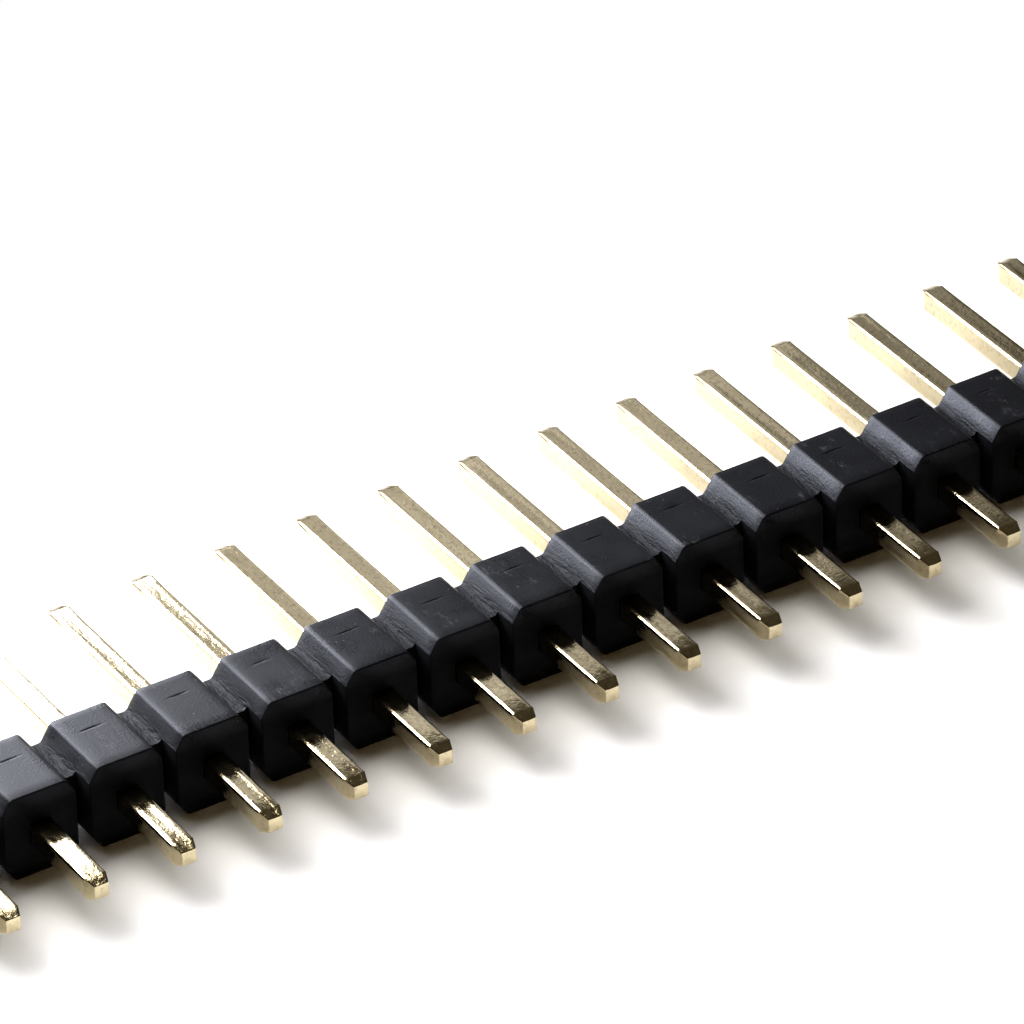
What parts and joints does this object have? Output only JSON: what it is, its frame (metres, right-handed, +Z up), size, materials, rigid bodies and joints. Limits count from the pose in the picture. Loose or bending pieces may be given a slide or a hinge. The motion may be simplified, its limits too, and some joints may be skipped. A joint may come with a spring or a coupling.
{
  "type": "pin header strip",
  "caption": "Single-row break-away pin header strip lying on its side: black moulded bar of notched blocks with square gold-plated pins pressed through it.",
  "frame": {"origin": "under the middle of the whole strip, on the surface that it lies on", "axes": "+X along the row, +Y towards the mating tips, -Y towards the solder tips, +Z up from the side that the housing lies on"},
  "size_m": [0.1016, 0.0114, 0.0025],
  "materials": {
    "housing_plastic": "matte",
    "pin_plating": "satin"
  },
  "bodies": {
    "root": {"housing": "housing_plastic", "pin_01": "pin_plating", "pin_02": "pin_plating", "pin_03": "pin_plating", "pin_04": "pin_plating", "pin_05": "pin_plating", "pin_06": "pin_plating", "pin_07": "pin_plating", "pin_08": "pin_plating", "pin_09": "pin_plating", "pin_10": "pin_plating", "pin_11": "pin_plating", "pin_12": "pin_plating", "pin_13": "pin_plating", "pin_14": "pin_plating", "pin_15": "pin_plating", "pin_16": "pin_plating", "pin_17": "pin_plating", "pin_18": "pin_plating", "pin_19": "pin_plating", "pin_20": "pin_plating", "pin_21": "pin_plating", "pin_22": "pin_plating", "pin_23": "pin_plating", "pin_24": "pin_plating", "pin_25": "pin_plating", "pin_26": "pin_plating", "pin_27": "pin_plating", "pin_28": "pin_plating", "pin_29": "pin_plating", "pin_30": "pin_plating", "pin_31": "pin_plating", "pin_32": "pin_plating", "pin_33": "pin_plating", "pin_34": "pin_plating", "pin_35": "pin_plating", "pin_36": "pin_plating", "pin_37": "pin_plating", "pin_38": "pin_plating", "pin_39": "pin_plating", "pin_40": "pin_plating"}
  },
  "joints": []
}
